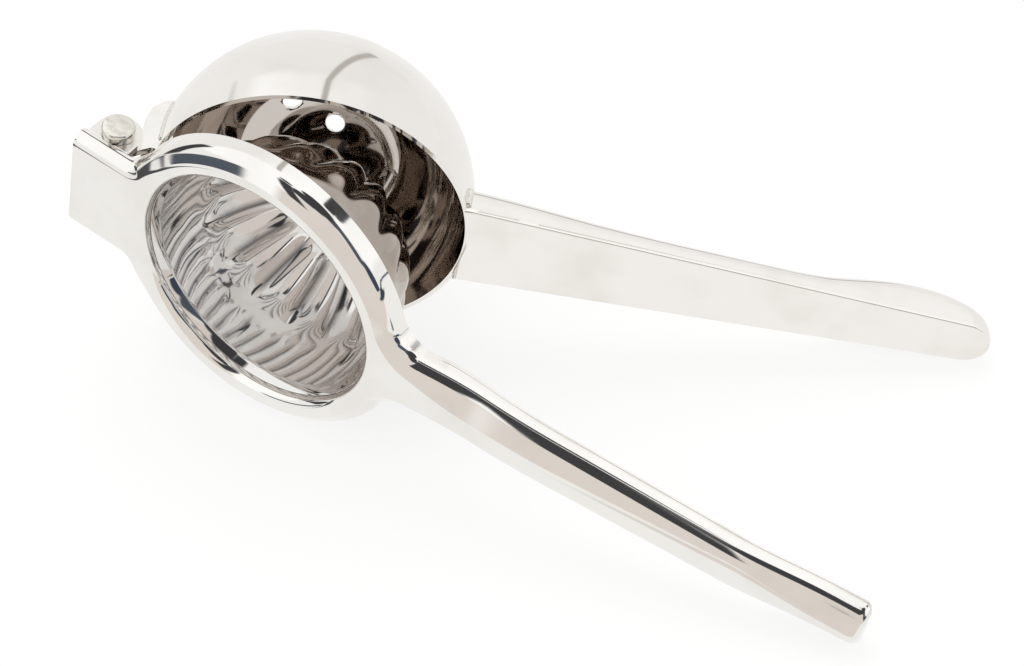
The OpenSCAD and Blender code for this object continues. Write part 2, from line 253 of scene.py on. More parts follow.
def steel(name, tint, dullTint, rough, waves, grain, stretch=(1, 1, 1), turn=0, polish=None, paintedCreaseShade=None):
    # slow waves from pressing, and fine buffing lines that run along the axes that stretch leaves at 1
    material, bench = newMaterial(name)
    (roughLow, roughHigh), (waveSize, waveDepth), (grainSize, grainDepth) = rough, waves, grain
    place = bench.wire("TexCoord", output="Object")
    laid = bench.wire("Mapping", None, {"Vector": place, "Rotation": (0, 0, turn), "Scale": stretch})
    swell = bench.wire("TexNoise", None, {"Vector": place, "Scale": perMetre / waveSize, "Detail": 1.0,
                                          "Roughness": 0.4})
    patches = bench.wire("TexNoise", None, {"Vector": place, "Scale": sheetWearAndShade["patchScale"], "Detail": 3.0,
                                            "Roughness": 0.55})
    lines = bench.wire("TexNoise", None, {"Vector": laid, "Scale": perMetre / grainSize, "Detail": 2.0,
                                          "Roughness": 0.6})
    pits = bench.wire("TexVoronoi", {"feature": "F1"}, {"Vector": place, "Scale": sheetWearAndShade["pitScale"]})
    dull = bench.spread(patches, sheetWearAndShade["patchFrom"], sheetWearAndShade["patchFull"])
    speck = bench.spread(pits, sheetWearAndShade["pitEdge"], sheetWearAndShade["pitMiddle"])
    height = swell * waveDepth + lines * grainDepth - speck * (grainDepth * sheetWearAndShade["pitDepth"])
    bump = bench.wire("Bump", None, {"Height": height, "Distance": 0.001, "Strength": 1.0})
    roughness = dull * (roughHigh - roughLow) + lines * sheetWearAndShade["grainRough"] + roughLow
    if polish:  # an attribute of the piece tells where the finish is duller
        layer, low, high, lowTo, highTo = polish
        roughness += bench.spread(bench.wire("Attribute", {"attribute_name": layer}, output="Fac"),
                                  low, high, lowTo, highTo)
    wear = dull * sheetWearAndShade["patchTint"] + speck * sheetWearAndShade["pitTint"]
    colour = bench.blendColours(wear, (*tint, 1), (*dullTint, 1))
    if paintedCreaseShade:  # an attribute of the piece tells where shade is painted into the colour
        creaseShadeShare = bench.wire("Attribute", {"attribute_name": paintedCreaseShade}, output="Fac")
        colour = bench.blendColours(creaseShadeShare * sheetWearAndShade["creaseShadeStrength"], colour, sheetWearAndShade["paintedCreaseShade"])
    surface = bench.wire("BsdfPrincipled", None, {"Base Color": colour, "Metallic": 1.0,
                                                  "Roughness": roughness, "Normal": bump})
    bench.add("OutputMaterial", None, {"Surface": surface})
    return material


# tint where the polish is full and where it is thin, roughness in both, and waves and grain as size and depth.
# A polish names an attribute of the piece, two of its values and the roughness that is added at each.
finishes = {
    "mirrorSteel": {"tint": (0.9, 0.887, 0.866), "dullTint": (0.84, 0.822, 0.798), "rough": (0.03, 0.08),
                    "waves": (16, 0.02), "grain": (0.9, 0.0012), "stretch": (1, 1, 6)},
    "cupSteel": {"tint": (0.885, 0.868, 0.847), "dullTint": (0.82, 0.8, 0.775), "rough": (0.035, 0.08),
                 "waves": (18, 0.03), "grain": (0.9, 0.0012)},
    "cupInside": {"tint": (0.62, 0.575, 0.54), "dullTint": (0.48, 0.43, 0.39), "rough": (0.03, 0.07),
                  "waves": (11, 0.05), "grain": (0.8, 0.0012)},
    # the dome's inside gets painted shade along the creases between its flutes
    "domeSteel": {"tint": (0.79, 0.775, 0.765), "dullTint": (0.68, 0.66, 0.65), "rough": (0.02, 0.06),
                  "waves": (9, 0.035), "grain": (0.8, 0.0012), "polish": ("polar", 60, 78, 0.05, 0.0),
                  "paintedCreaseShade": "crease"},
    "pressedSteel": {"tint": (0.5, 0.455, 0.42), "dullTint": (0.36, 0.31, 0.275), "rough": (0.05, 0.14),
                     "waves": (7, 0.05), "grain": (0.8, 0.0015)},
    "plateSteel": {"tint": (0.93, 0.912, 0.885), "dullTint": (0.87, 0.845, 0.81), "rough": (0.08, 0.2),
                   "waves": (20, 0.03), "grain": (0.7, 0.002), "stretch": (1, 6, 6)},
    "satinSteel": {"tint": (0.9, 0.878, 0.85), "dullTint": (0.83, 0.8, 0.765), "rough": (0.2, 0.34),
                   "waves": (5, 0.03), "grain": (0.5, 0.006)},
    "rivetSteel": {"tint": (0.86, 0.84, 0.79), "dullTint": (0.68, 0.65, 0.6), "rough": (0.16, 0.34),
                   "waves": (2.6, 0.1), "grain": (0.5, 0.012), "stretch": (1, 5, 1), "turn": 0.7},
    # a near-black finish that paints shade into the ears' groove and along the tab's fold
    "paintedShadeSteel": {"tint": (0.2, 0.19, 0.185), "dullTint": (0.12, 0.11, 0.105), "rough": (0.15, 0.3),
                    "waves": (4, 0.02), "grain": (0.5, 0.003)},
    "weldSteel": {"tint": (0.82, 0.8, 0.77), "dullTint": (0.66, 0.62, 0.575), "rough": (0.2, 0.4),
                  "waves": (1.6, 0.12), "grain": (0.4, 0.012)}}
steels = {name: steel(name, **values) for name, values in finishes.items()}
print("steels ready")

# press frame: tab, ring, neck and handle in one sheet, with the flat front at Y = -faceH

press = {"sheet": 1.8, "faceH": 8.4, "edgeGap": 0.2, "roundSteps": 12, "support": 0.22, "edgeTurn": 52,
         "sliver": 0.0001,
         # ring, its rounded outer edge and the lip of its opening
         "rimR": 41, "ringW": 8, "hingeGap": 7.3, "rimDeep": 5.0, "rimWide": 4.5, "rimTight": 4.2,
         "rimFrom": 8, "rimRun": 9, "ringSteps": 96,
         "lipRound": 3.0, "lipCollar": 2, "lipSteps": 8, "lipAround": 110,
         # tab, with a flange that deepens into the ring's wall, and its ears with the groove at their foot
         "tabH": 15.6, "tabEnd": 7, "tabD": 4.2, "tabRound": 3, "tabFillet": 3, "foldTo": 8.5,
         "flangeTo": 7.5, "flangeRun": 3.5, "tabSteps": 24, "filletSteps": 9,
         "earR": 6.1, "earDrop": 0.45, "earFoot": 0.62,
         "earGroove": ((0.12, 0.06), (0.2, 0.2), (0.24, 0.6), (0.34, 0.66), (0.46, 0.6)),
         # neck
         "neckR": 9, "neckTight": 3.8, "neckWall": 2.7, "neckFlat": 1.8, "neckRun": 45, "neckRise": 9,
         "neckCorner": 6, "neckSteps": 18,
         # handle, with the seam where its back plate is welded in and ground flush
         "rootH": 8.8, "tipH": 6.2, "rootD": 9.6, "waistD": 7, "tipD": 8.1, "waist": 182, "tipFlat": 8,
         "end": 215.5,
         "gripTight": 4.9, "gripWall": 1.6, "gripFlat": 0.35, "gripLead": 8, "gripRun": 26,
         "bendFrom": 115, "bendLen": 20, "bend": 5.7, "endRound": 2.4, "endSteps": 5, "handleSteps": 60,
         "seamAt": 1.05, "seamShare": 0.3, "seamWidth": 0.16, "seamDepth": 0.14, "seamFrom": 2, "seamRun": 6,
         # back plate of the handle
         "plateFrom": 2, "plateGap": 0.05, "plateWall": 0.8, "plateSkirt": 1,
         "plateEdge": ((0.35, 0), (0.1, 0.12), (0, 0.4), (0, 0.6))}
# the third finish is painted shade, for the ears' groove and the tab's fold
frameFinish = ["mirrorSteel", "satinSteel", "paintedShadeSteel"]
satinAt, paintedShadeAt = 1, 2
reach = press["rimR"] + press["hingeGap"]
openingR = press["rimR"] - press["ringW"]
neckH = press["rootH"] + press["neckR"]
neckEnd = reach + math.sqrt((press["rimR"] + press["neckR"]) ** 2 - neckH ** 2)


def pressFront(x):
    along = x - press["bendFrom"]
    run = press["bendLen"]
    drop = 0 if along < 0 else along * along / (2 * run) if along < run else along - run / 2
    return -press["faceH"] + math.tan(math.radians(press["bend"])) * drop


def pressDepth(x):
    waist = press["waist"]
    if x < waist:
        return mix(press["rootD"], press["waistD"], (x - neckEnd) / (waist - neckEnd))
    return mix(press["waistD"], press["tipD"], ease((x - waist) / (press["end"] - press["tipFlat"] - waist)))


def pressBack(x):
    return mix(-press["edgeGap"], pressFront(x) + pressDepth(x), ease((x - neckEnd) / press["neckRise"]))


def pressHalf(x):
    return mix(press["rootH"], press["tipH"], (x - neckEnd) / (press["end"] - neckEnd))


def pressEdge(x):
    # the rounded outer edge's depth, width and first radius: tight on the tab, fuller on the ring and the handle
    onRim = ease((x - press["rimFrom"]) / press["rimRun"])
    onGrip = ease((x - neckEnd + press["gripLead"]) / press["gripRun"])
    along = ease((x - neckEnd) / press["neckRun"])
    rim = [mix(press["tabRound"], press[size], onRim) for size in ("rimDeep", "rimWide", "rimTight")]
    grip = [pressDepth(x) - mix(press["neckWall"], press["gripWall"], along),
            pressHalf(x) - mix(press["neckFlat"], press["gripFlat"], along),
            mix(press["neckTight"], press["gripTight"], along)]
    return [mix(a, b, onGrip) for a, b in zip(rim, grip)]


def edgePoint(x, share):
    # how far in and how far above the front: an arc, a flat and a slower arc, from the wall to the front
    deep, wide, tight = pressEdge(x)
    turn = math.radians(press["edgeTurn"])
    c, s = math.cos(turn), math.sin(turn)
    restDeep, restWide = deep - tight * s, wide - tight * (1 - c)
    both = c * c - s * (1 - s)
    flat, slow = (restDeep * c - (1 - s) * restWide) / both, (c * restWide - s * restDeep) / both
    if share <= 0.5:
        angle = turn * share * 2
        return tight * (1 - math.cos(angle)), deep - tight * math.sin(angle)
    angle = mix(turn, math.pi / 2, share * 2 - 1)
    return (tight * (1 - c) + flat * s + slow * (c - math.cos(angle)),
            deep - tight * s - flat * c - slow * (math.sin(angle) - s))


def outlinePath(bm):
    # upper half of the outline in the plane Y = 0, from the tab's end to the handle's end
    path = [bm.verts.new((-press["tabEnd"], 0, press["tabH"]))]

    def line(x, z, steps):
        start = path[-1].co.copy()
        for i in range(steps):
            v = bmesh.ops.extrude_vert_indiv(bm, verts=[path[-1]])["verts"][0]
            v.co = start.lerp(Vector((x, 0, z)), (i + 1) / steps)
            path.append(v)

    def arc(x, z, degrees, steps):
        bmesh.ops.spin(bm, geom=path[-1:], cent=(x, 0, z), axis=(0, 1, 0), angle=math.radians(degrees), steps=steps)
        bm.verts.ensure_lookup_table()
        path.extend(bm.verts[len(bm.verts) - steps:])

    fillet = press["tabFillet"]
    filletZ = press["tabH"] + fillet
    filletX = reach - math.sqrt((press["rimR"] + fillet) ** 2 - filletZ ** 2)
    rise = math.degrees(math.asin(filletZ / (press["rimR"] + fillet)))
    neck = math.degrees(math.atan2(neckH, neckEnd - reach))
    handleEnd = press["end"] - press["endRound"]
    line(-press["earR"], press["tabH"], 1)
    line(press["earR"], press["tabH"], press["tabSteps"])
    line(filletX, press["tabH"], 2)
    arc(filletX, filletZ, rise - 90, press["filletSteps"])
    arc(reach, 0, 180 - rise - neck, press["ringSteps"])
    arc(neckEnd, neckH, neck - 90, press["neckSteps"])
    line(handleEnd, pressHalf(handleEnd), press["handleSteps"])
    return path


def frameBack(spot):
    # where the wall ends
    if spot.x < press["flangeTo"] + press["flangeRun"]:
        return mix(press["tabD"] - press["faceH"], -press["edgeGap"],
                   ease((spot.x - press["flangeTo"]) / press["flangeRun"]))
    return pressBack(spot.x) if spot.x > neckEnd else -press["edgeGap"]


def waysIn(spots):
    # at each spot of the outline, the direction to the inside
    ways = []
    for i in range(len(spots)):
        along = spots[min(i + 1, len(spots) - 1)] - spots[max(i - 1, 0)]
        ways.append(Vector((along.z, 0, -along.x)).normalized())
    ways[0] = ways[1] = Vector((0, 0, -1))
    return ways


def edgeSpot(spot, way, share, inset):
    wide, rise = edgePoint(spot.x, share)
    place = spot + way * (wide + inset)
    return Vector((place.x, pressFront(spot.x) + rise, place.z))


def edgePlaces(spots):
    # rows from the back edge to the flat front: the seam, the wall and the rounded edge
    ways = waysIn(spots)
    tops = [pressFront(s.x) + pressEdge(s.x)[0] for s in spots]
    strips = [min(press["seamAt"], press["seamShare"] * (frameBack(s) - top)) for s, top in zip(spots, tops)]
    depths = [press["seamDepth"] * ease((s.x - neckEnd - press["seamFrom"]) / press["seamRun"]) for s in spots]
    width = press["seamWidth"]
    places = [[Vector((s.x, frameBack(s) - strip - width * k / 2, s.z)) + way * (depth if k == 1 else 0)
               for s, way, strip, depth in zip(spots, ways, strips, depths)] for k in range(3)]
    places.append([Vector((s.x, mix(frameBack(s) - strip - width, top, 0.5), s.z))
                   for s, strip, top in zip(spots, strips, tops)])
    steps = press["roundSteps"]
    for share, inset in [(k / steps, 0.0) for k in range(steps + 1)] + [(1, press["support"])]:
        places.append([edgeSpot(s, way, share, inset) for s, way in zip(spots, ways)])
    return places


def onMiddle(row):
    return [Vector((v.co.x, v.co.y, 0)) for v in row]


def roundHandleEnd(bm, chain):
    endRound = press["endRound"]
    places = []
    for angle in quarterTurn(press["endSteps"], 1):
        inset = endRound * (1 - math.cos(angle))
        spots = []
        for v in chain:
            front, rear = pressFront(v.co.x), pressBack(v.co.x)
            share = (v.co.y - front) / (rear - front)
            spots.append(Vector((press["end"] - endRound + endRound * math.sin(angle),
                                 v.co.y + inset * (1 - 2 * share),
                                 max(0, v.co.z * (1 - inset / pressHalf(v.co.x))))))
        places.append(spots)
    endRow = sweep(bm, chain, places)[-1]
    sweep(bm, endRow, [onMiddle(endRow)])


def addLip(bm):
    # lip and collar round the opening, and the row where the lip meets the flat front
    lip, front = press["lipRound"], -press["faceH"]
    outerR = openingR + lip + press["support"]
    profile = [(outerR, front)]
    profile += [(openingR + lip - lip * math.sin(a), front + lip * (1 - math.cos(a)))
                for a in quarterTurn(press["lipSteps"])]
    profile += [(openingR, front + lip + press["lipCollar"])]
    row = startRow(bm, [Vector((reach - r, y, 0)) for r, y in profile])
    bmesh.ops.spin(bm, geom=row + rowEdges(bm, row), cent=(reach, 0, 0), axis=(0, 1, 0),
                   angle=math.pi, steps=press["lipAround"])
    bmesh.ops.remove_doubles(bm, verts=bm.verts, dist=mergeGap)
    bm.verts.ensure_lookup_table()
    met = [v for v in bm.verts if abs(v.co.y - front) < near and v.co.z > -near
           and abs(math.hypot(v.co.x - reach, v.co.z) - outerR) < 2 * near]
    return sorted(met, key=lambda v: -math.atan2(v.co.z, v.co.x - reach))


def addEar(bm, side):
    # an ear stands a step lower than the tab's folded edge, behind a groove
    foot = press["tabD"] - press["faceH"]
    tabEdge = [v for v in bm.verts if abs(v.co.z - side * press["tabH"]) < near
               and abs(v.co.x) < press["earR"] + near and abs(v.co.y - foot) < near]
    tabEdge.sort(key=lambda v: v.co.x)
    z = side * (press["tabH"] - press["earDrop"])
    groove = [[Vector((v.co.x, foot + rise, side * (press["tabH"] - drop))) for v in tabEdge]
              for rise, drop in (*press["earGroove"], (press["earFoot"], press["earDrop"]))]
    low = [Vector((v.co.x, 0, z)) for v in tabEdge]
    nose = [Vector((p.x, math.sqrt(max(0, press["earR"] ** 2 - p.x ** 2)), z)) for p in low]
    rows = sweep(bm, tabEdge, groove + [low, nose])
    # the ears are duller, and the groove's faces are painted dark as shade
    for index, marked in ((satinAt, rows[-2] + rows[-1]), (paintedShadeAt, rows[2] + rows[3])):
        for f in {f for v in marked for f in v.link_faces}:
            f.material_index = index


def makePressFrame():
    bm = bmesh.new()
    path = outlinePath(bm)
    spots = [v.co.copy() for v in path]
    placeRow(path, [Vector((s.x, frameBack(s), s.z)) for s in spots])
    rows = sweep(bm, path, edgePlaces(spots))
    # painted shade: a dark line where the tab's side is folded
    fold = set(rows[4] + rows[5])
    for f in {f for v in rows[4] if v.co.x < press["foldTo"] for f in v.link_faces}:
        if all(v in fold for v in f.verts):
            f.material_index = paintedShadeAt
    # the handle's front runs on to the middle
    flatRow = rows[-1]
    first = next(i for i, s in enumerate(spots) if s.x > neckEnd - near)
    middle = sweep(bm, flatRow[first:], [onMiddle(flatRow[first:])])[-1]
    roundHandleEnd(bm, [row[-1] for row in rows] + [middle[-1]])
    # flat front of tab, ring and neck
    lipRow = addLip(bm)
    corner = bm.verts.new((-press["tabEnd"], -press["faceH"], 0))
    bm.faces.new(flatRow[:first + 1] + [middle[0]] + lipRow[::-1] + [corner])
    mirrorHalf(bm)
    for side in (-1, 1):
        addEar(bm, side)
    # the sheet is duller behind the handle's seam, and in the neck's corner that no polishing wheel reaches
    for f in bm.faces:
        spot = f.calc_center_median()
        behindSeam = spot.x > neckEnd + press["neckCorner"] and spot.y > pressBack(spot.x) - press["seamAt"]
        inCorner = (abs(spot.x - neckEnd) < press["neckCorner"]
                    and spot.y > pressFront(spot.x) + pressEdge(spot.x)[0])
        if behindSeam or inCorner:
            f.material_index = satinAt
    bmesh.ops.remove_doubles(bm, verts=bm.verts, dist=mergeGap)
    bmesh.ops.dissolve_degenerate(bm, edges=bm.edges, dist=press["sliver"])
    faceOut(bm, (0, -1, 0.2))
    finishPiece(bm, "pressFrame", pressLay, "press_half", "press_frame", frameFinish,
                wall=press["sheet"], edge=0.2)


makePressFrame()


# fluted dome, drawn mouth up and then turned into the ring

dome = {"wall": 3, "edge": 5, "depth": 34.4, "sheet": 1.2, "gap": 0.05, "around": 320, "rows": 72,
        "flutes": 16, "fluteH": 1.9, "fluteDip": 0.4, "fluteTop": 27, "fluteEnd": 70, "fluteRun": 12,
        "creaseIn": 4, "creaseRun": 8, "creaseOut": 2, "creaseEnd": 10, "creaseWidth": 0.2,
        "ripple": 0.05, "rippleSize": 0.16, "ripplePole": 8, "rippleRun": 22, "rippleRim": 86, "rippleFade": 8}
onRing = Matrix(((1, 0, 0, reach), (0, 0, -1, 0), (0, 1, 0, 0), (0, 0, 0, 1)))
onCup = Matrix(((1, 0, 0, reach), (0, 0, 1, 0), (0, -1, 0, 0), (0, 0, 0, 1)))


def fluteWave(turn):
    return abs(math.sin(dome["flutes"] / 2 * turn))


def fluteRise(polar, turn):
    share = ease((polar - dome["fluteTop"]) / dome["fluteRun"])
    share *= ease((dome["fluteEnd"] - polar) / dome["fluteRun"])
    return dome["fluteH"] * share * (fluteWave(turn) - dome["fluteDip"])


def domeRipple(co, polar):
    share = ease((dome["rippleRim"] - polar) / dome["rippleFade"])
    share *= ease((polar - dome["ripplePole"]) / dome["rippleRun"])
    return noise.noise(co * dome["rippleSize"]) * dome["ripple"] * share


def creaseShare(polar, turn):
    # how deep a spot is in a crease between two flutes, which sets how much painted shade its colour gets
    along = ease((polar - dome["fluteTop"] - dome["creaseIn"]) / dome["creaseRun"])
    along *= ease((dome["fluteEnd"] - polar - dome["creaseOut"]) / dome["creaseEnd"])
    return along * clamp(1 - fluteWave(turn) / dome["creaseWidth"])


def makeDome():
    bm = bmesh.new()
    r = openingR - dome["gap"]
    deep = dome["depth"] + dome["wall"]
    profile = [(r * math.sin(a), dome["wall"] - deep * math.cos(a)) for a in quarterTurn(dome["rows"])]
    spunShell(bm, profile + [(r, dome["edge"])], dome["around"])
    polarLayer = bm.verts.layers.float.new("polar")
    creaseLayer = bm.verts.layers.float.new("crease")
    for v in bm.verts:
        v[polarLayer] = 90
        if v.co.z > dome["wall"] - near:
            continue
        polar = math.degrees(math.acos(clamp((dome["wall"] - v.co.z) / deep)))
        turn = math.atan2(v.co.y, v.co.x)
        v[polarLayer] = polar
        v[creaseLayer] = creaseShare(polar, turn)
        out = Vector((v.co.x / r, v.co.y / r, (v.co.z - dome["wall"]) / deep))
        v.co += out * (fluteRise(polar, turn) + domeRipple(v.co, polar))
    faceOut(bm, (0, 0, -1))
    bm.verts.index_update()
    rim = {v.index for v in bm.verts if v.co.z > dome["edge"] - near}
    finishPiece(bm, "pressDome", pressLay @ onRing, "press_half", "press_dome", ["pressedSteel"],
                wall=dome["sheet"], edge=0.2, ground=rim, inside="domeSteel")


makeDome()

# cup with its drain holes, drawn mouth down

cup = {"r": 40.59, "sheet": 1.2, "collar": 6.5, "drains": 6, "drainR": 2.6, "drainAngle": 19, "drainTurn": 36,
       "drainReach": 1.5, "around": 288, "rows": 84}


def cutDrain(bm, middle, axis):
    # removes the faces inside a drain and draws the edge that is left on to its circle
    def aside(co):
        out = co - middle
        return (out - axis * out.dot(axis)).length if out.dot(axis) > 0 else math.inf

    r = cup["drainR"]
    gone = [f for f in bm.faces if aside(f.calc_center_median()) < r]
    bmesh.ops.delete(bm, geom=gone, context="FACES")
    for v in bm.verts:
        if v.is_boundary and aside(v.co) < r * cup["drainReach"]:
            out = v.co - middle
            flat = out - axis * out.dot(axis)
            flat *= r / flat.length
            v.co = middle + flat + axis * math.sqrt(cup["r"] ** 2 - r ** 2)


def makeCup():
    bm = bmesh.new()
    profile = [(cup["r"] * math.sin(a), cup["collar"] + cup["r"] * math.cos(a)) for a in quarterTurn(cup["rows"])]
    spunShell(bm, profile + [(cup["r"], cup["collar"] * 0.5), (cup["r"], 0)], cup["around"])
    tip = math.radians(cup["drainAngle"])
    for i in range(cup["drains"]):
        turn = math.radians(-cup["drainTurn"] - i * 360 / cup["drains"])
        cutDrain(bm, Vector((0, 0, cup["collar"])),
                 Vector((math.sin(tip) * math.cos(turn), math.sin(tip) * math.sin(turn), math.cos(tip))))
    faceOut(bm, (0, 0, 1))
    finishPiece(bm, "cupBowl", cupLay @ onCup, "cup_half", "cup", ["cupSteel"],
                wall=cup["sheet"], edge=0.22, inside="cupInside")


makeCup()

# cup handle: a hollow back with a palm swell, closed by a flat plate on the press's side

grip = {"end": 221, "rootH": 12.7, "tipH": 6.5, "rootD": 8.4, "waistD": 5.7, "swellD": 10.3, "rootShare": 0.8,
        "rootSink": 0.3, "waistFrom": 143, "waistTo": 168, "swellAt": 201, "sheet": 1.3,
        "round": 4, "roundDepth": 0.6, "roundWidth": 0.8, "roundLeast": 0.02, "backFlat": 0.6,
        "stations": 90, "tipSteps": 14, "roundSteps": 7, "tipGap": 0.15, "mergeGap": 0.002,
        "plate": 1.2, "plateWall": 0.8, "plateRound": 0.3, "plateFlat": 0.2, "plateStations": 60}
gripTip = grip["end"] - grip["tipH"]
gripRoot = reach + cup["r"] * grip["rootShare"]


def gripDepth(x):
    swellAt = grip["swellAt"]
    if x < swellAt:
        low = mix(grip["rootD"], grip["waistD"], ease((x - gripRoot) / (grip["waistFrom"] - gripRoot)))
        return mix(low, grip["swellD"], ease((x - grip["waistTo"]) / (swellAt - grip["waistTo"])))
    return grip["swellD"] * math.sqrt(max(0, 1 - ((x - swellAt) / (grip["end"] - swellAt)) ** 2))


def gripHalf(x):
    if x < gripTip:
        return mix(grip["rootH"], grip["tipH"], (x - reach - cup["r"]) / (gripTip - reach - cup["r"]))
    return math.sqrt(max(0, grip["tipH"] ** 2 - (x - gripTip) ** 2))


def gripSection(x):
    # half section from the front edge round to the middle of the back
    side, back = gripHalf(x), gripDepth(x)
    r = max(grip["roundLeast"], min(grip["round"], back * grip["roundDepth"], side * grip["roundWidth"]))
    points = [(0, side), ((back - r) / 2, side)]
    points += [(back - r + r * math.sin(a), side - r + r * math.cos(a)) for a in quarterTurn(grip["roundSteps"])]
    return points + [(back, (side - r) * grip["backFlat"]), (back, 0)]


def onWall(y, z):
    # distance along X where the cup's wall is, on the handles' side
    over = max(0, y - cup["collar"])
    return reach + math.sqrt(cup["r"] ** 2 - over * over - z * z)


def tipStations():
    return [gripTip + grip["tipH"] * math.sin(a) for a in quarterTurn(grip["tipSteps"], 1)]


def makeGripShell():
    bm = bmesh.new()
    roots = [onWall(y, z) - grip["rootSink"] for y, z in gripSection(reach + cup["r"])]
    places = []
    for i in range(grip["stations"] + 1):
        xs = [mix(root, gripTip, i / grip["stations"]) for root in roots]
        places.append([Vector((x, *gripSection(x)[k])) for k, x in enumerate(xs)])
    for x in tipStations():
        places.append([Vector((x, y, z)) for y, z in gripSection(min(x, grip["end"] - grip["tipGap"]))])
    sweep(bm, startRow(bm, places[0]), places[1:])
    mirrorHalf(bm, grip["mergeGap"])
    faceOut(bm, (0, 1, 0))
    finishPiece(bm, "gripShell", cupLay, "cup_half", "cup_handle_shell", ["mirrorSteel"],
                wall=grip["sheet"], edge=0.2)


makeGripShell()


def makeGripPlate():
    bm = bmesh.new()
    root = onWall(0, grip["rootH"]) - grip["rootSink"]
    steps = grip["plateStations"]
    xs = [mix(root, gripTip, i / steps) for i in range(steps + 1)] + tipStations()
    sides = [(x, gripHalf(x)) for x in xs]
    thick, r, end = grip["plate"], grip["plateRound"], grip["end"]
    flat = r + grip["plateFlat"]
    places = [[Vector((x, -thick + r, z)) for x, z in sides]]
    for angle in (math.pi / 6, math.pi / 3, math.pi / 2):
        inset, rise = r * (1 - math.cos(angle)), r * (1 - math.sin(angle))
        places.append([Vector((min(x, end - inset), -thick + rise, max(0, z - inset))) for x, z in sides])
    places.append([Vector((min(x, end - flat), -thick, max(0, z - flat))) for x, z in sides])
    last = sweep(bm, startRow(bm, [Vector((x, 0, z)) for x, z in sides]), places)[-1]
    middle = onMiddle(last)
    middle[0].x = onWall(0, 0) - grip["rootSink"]
    sweep(bm, last, [middle])
    mirrorHalf(bm, grip["mergeGap"])
    faceOut(bm, (0, -1, 0))
    finishPiece(bm, "gripPlate", cupLay, "cup_half", "cup_handle_plate", ["plateSteel"],
                wall=grip["plateWall"], edge=0.1)


makeGripPlate()

# back plate of the press handle

def makePressPlate():
    bm = bmesh.new()
    start, end = neckEnd + press["plateFrom"], press["end"] - press["sheet"] - press["plateGap"]
    xs = [mix(start, end, i / press["handleSteps"]) for i in range(press["handleSteps"] + 1)]
    sides = [(x, pressBack(x), pressHalf(x) - press["sheet"] - press["plateGap"]) for x in xs]
    row = startRow(bm, [Vector((x, back - press["plateSkirt"], z)) for x, back, z in sides])
    rows = sweep(bm, row, [[Vector((x, back - below, z - inset)) for x, back, z in sides]
                           for below, inset in press["plateEdge"]])
    sweep(bm, rows[-1], [onMiddle(rows[-1])])
    mirrorHalf(bm)
    faceOut(bm, (0, 1, 0))
    finishPiece(bm, "pressPlate", pressLay, "press_half", "press_handle_plate", ["plateSteel"],
                wall=press["plateWall"], edge=0.1)


makePressPlate()

# hinge bracket: a web behind the rivet and a cheek at each side, folded from one strip

bracket = {"sheet": 1.8, "eyeR": 5.4, "webX": 5.3, "cheekOut": 13.5, "cheekD": 16.2, "wallSink": 0.4,
           "webPath": ((0, 8), (1, 3.5), (3.4, 1), (5.6, 0)), "webStart": 0.6, "wallDepths": (12, 8, 4, 0),
           "low": -1, "noseX": 3, "eyeTurn": range(-60, -300, -15), "bendR": 2.4, "bendSteps": 5}


def cupWallX(depth, height):
    return reach - math.sqrt(cup["r"] ** 2 - max(0, depth - cup["collar"]) ** 2 - height ** 2)


def makeBracket():
    bm = bmesh.new()
    eye, web, deep, out, low = (bracket[key] for key in ("eyeR", "webX", "cheekD", "cheekOut", "low"))
    webPath = [(web, eye - bracket["webStart"])] + [(web + x, deep - y) for x, y in bracket["webPath"]]
    wall = [(cupWallX(y, out) + bracket["wallSink"], y) for y in (deep, *bracket["wallDepths"], low)]
    nose = [(web + bracket["noseX"], low)]
    nose += [(eye * math.cos(math.radians(a)), eye * math.sin(math.radians(a))) for a in bracket["eyeTurn"]]
    chain = startRow(bm, [Vector((x, y, out)) for x, y in webPath])
    bm.faces.new(chain + [bm.verts.new((x, y, out)) for x, y in wall + nose])
    webEdges = rowEdges(bm, chain)
    for v in rowAfter(bm, chain):
        v.co.z = 0
    bmesh.ops.bevel(bm, geom=webEdges, affect="EDGES", offset=bracket["bendR"], offset_type="OFFSET",
                    segments=bracket["bendSteps"], profile=0.5, material=-1, clamp_overlap=True)
    mirrorHalf(bm)
    faceOut(bm, (0, 0, 1))
    finishPiece(bm, "cupBracket", cupLay, "cup_half", "cup_bracket", ["mirrorSteel"],
                wall=bracket["sheet"], edge=0.3)


makeBracket()

# rivet with hammered heads

rivet = {"shankR": 3, "headR": 4.2, "headH": 2.5, "rimH": 0.8, "rimIn": 0.1, "edge": 0.7, "edgeSteps": 6,
         "topSteps": 10, "around": 96, "dent": 0.22, "dentSize": 0.6, "dentPlace": (3, 1, 7), "dentFrom": 0.4,
         "dentMiddle": 0.5, "dentSpread": 0.8}


def makeRivet():
    bm = bmesh.new()
    tab, r, edge = press["tabH"], rivet["headR"], rivet["edge"]
    high, seat, top = tab + rivet["headH"], tab - press["earDrop"], rivet["topSteps"]
    profile = [(rivet["shankR"], 0), (rivet["shankR"], seat), (r - rivet["rimIn"], seat), (r, tab),
               (r, tab + rivet["rimH"])]
    profile += [(r - edge * (1 - math.cos(a)), high - edge * (1 - math.sin(a)))
                for a in quarterTurn(rivet["edgeSteps"])]
    profile += [((r - edge) * k / top, high) for k in range(top - 1, -1, -1)]
    spunShell(bm, profile, rivet["around"])
    for v in bm.verts:
        if v.co.z > tab + rivet["dentFrom"]:
            blow = noise.noise(v.co * rivet["dentSize"] + Vector(rivet["dentPlace"]))
            v.co.z -= clamp(rivet["dentMiddle"] + blow * rivet["dentSpread"]) * rivet["dent"]
    mirrorHalf(bm)
    faceOut(bm, (0, 0, 1))
    finishPiece(bm, "hingeRivet", pressLay, "press_half", "hinge_rivet", ["rivetSteel"],
                edge=0.15, edgeAngle=50)


makeRivet()

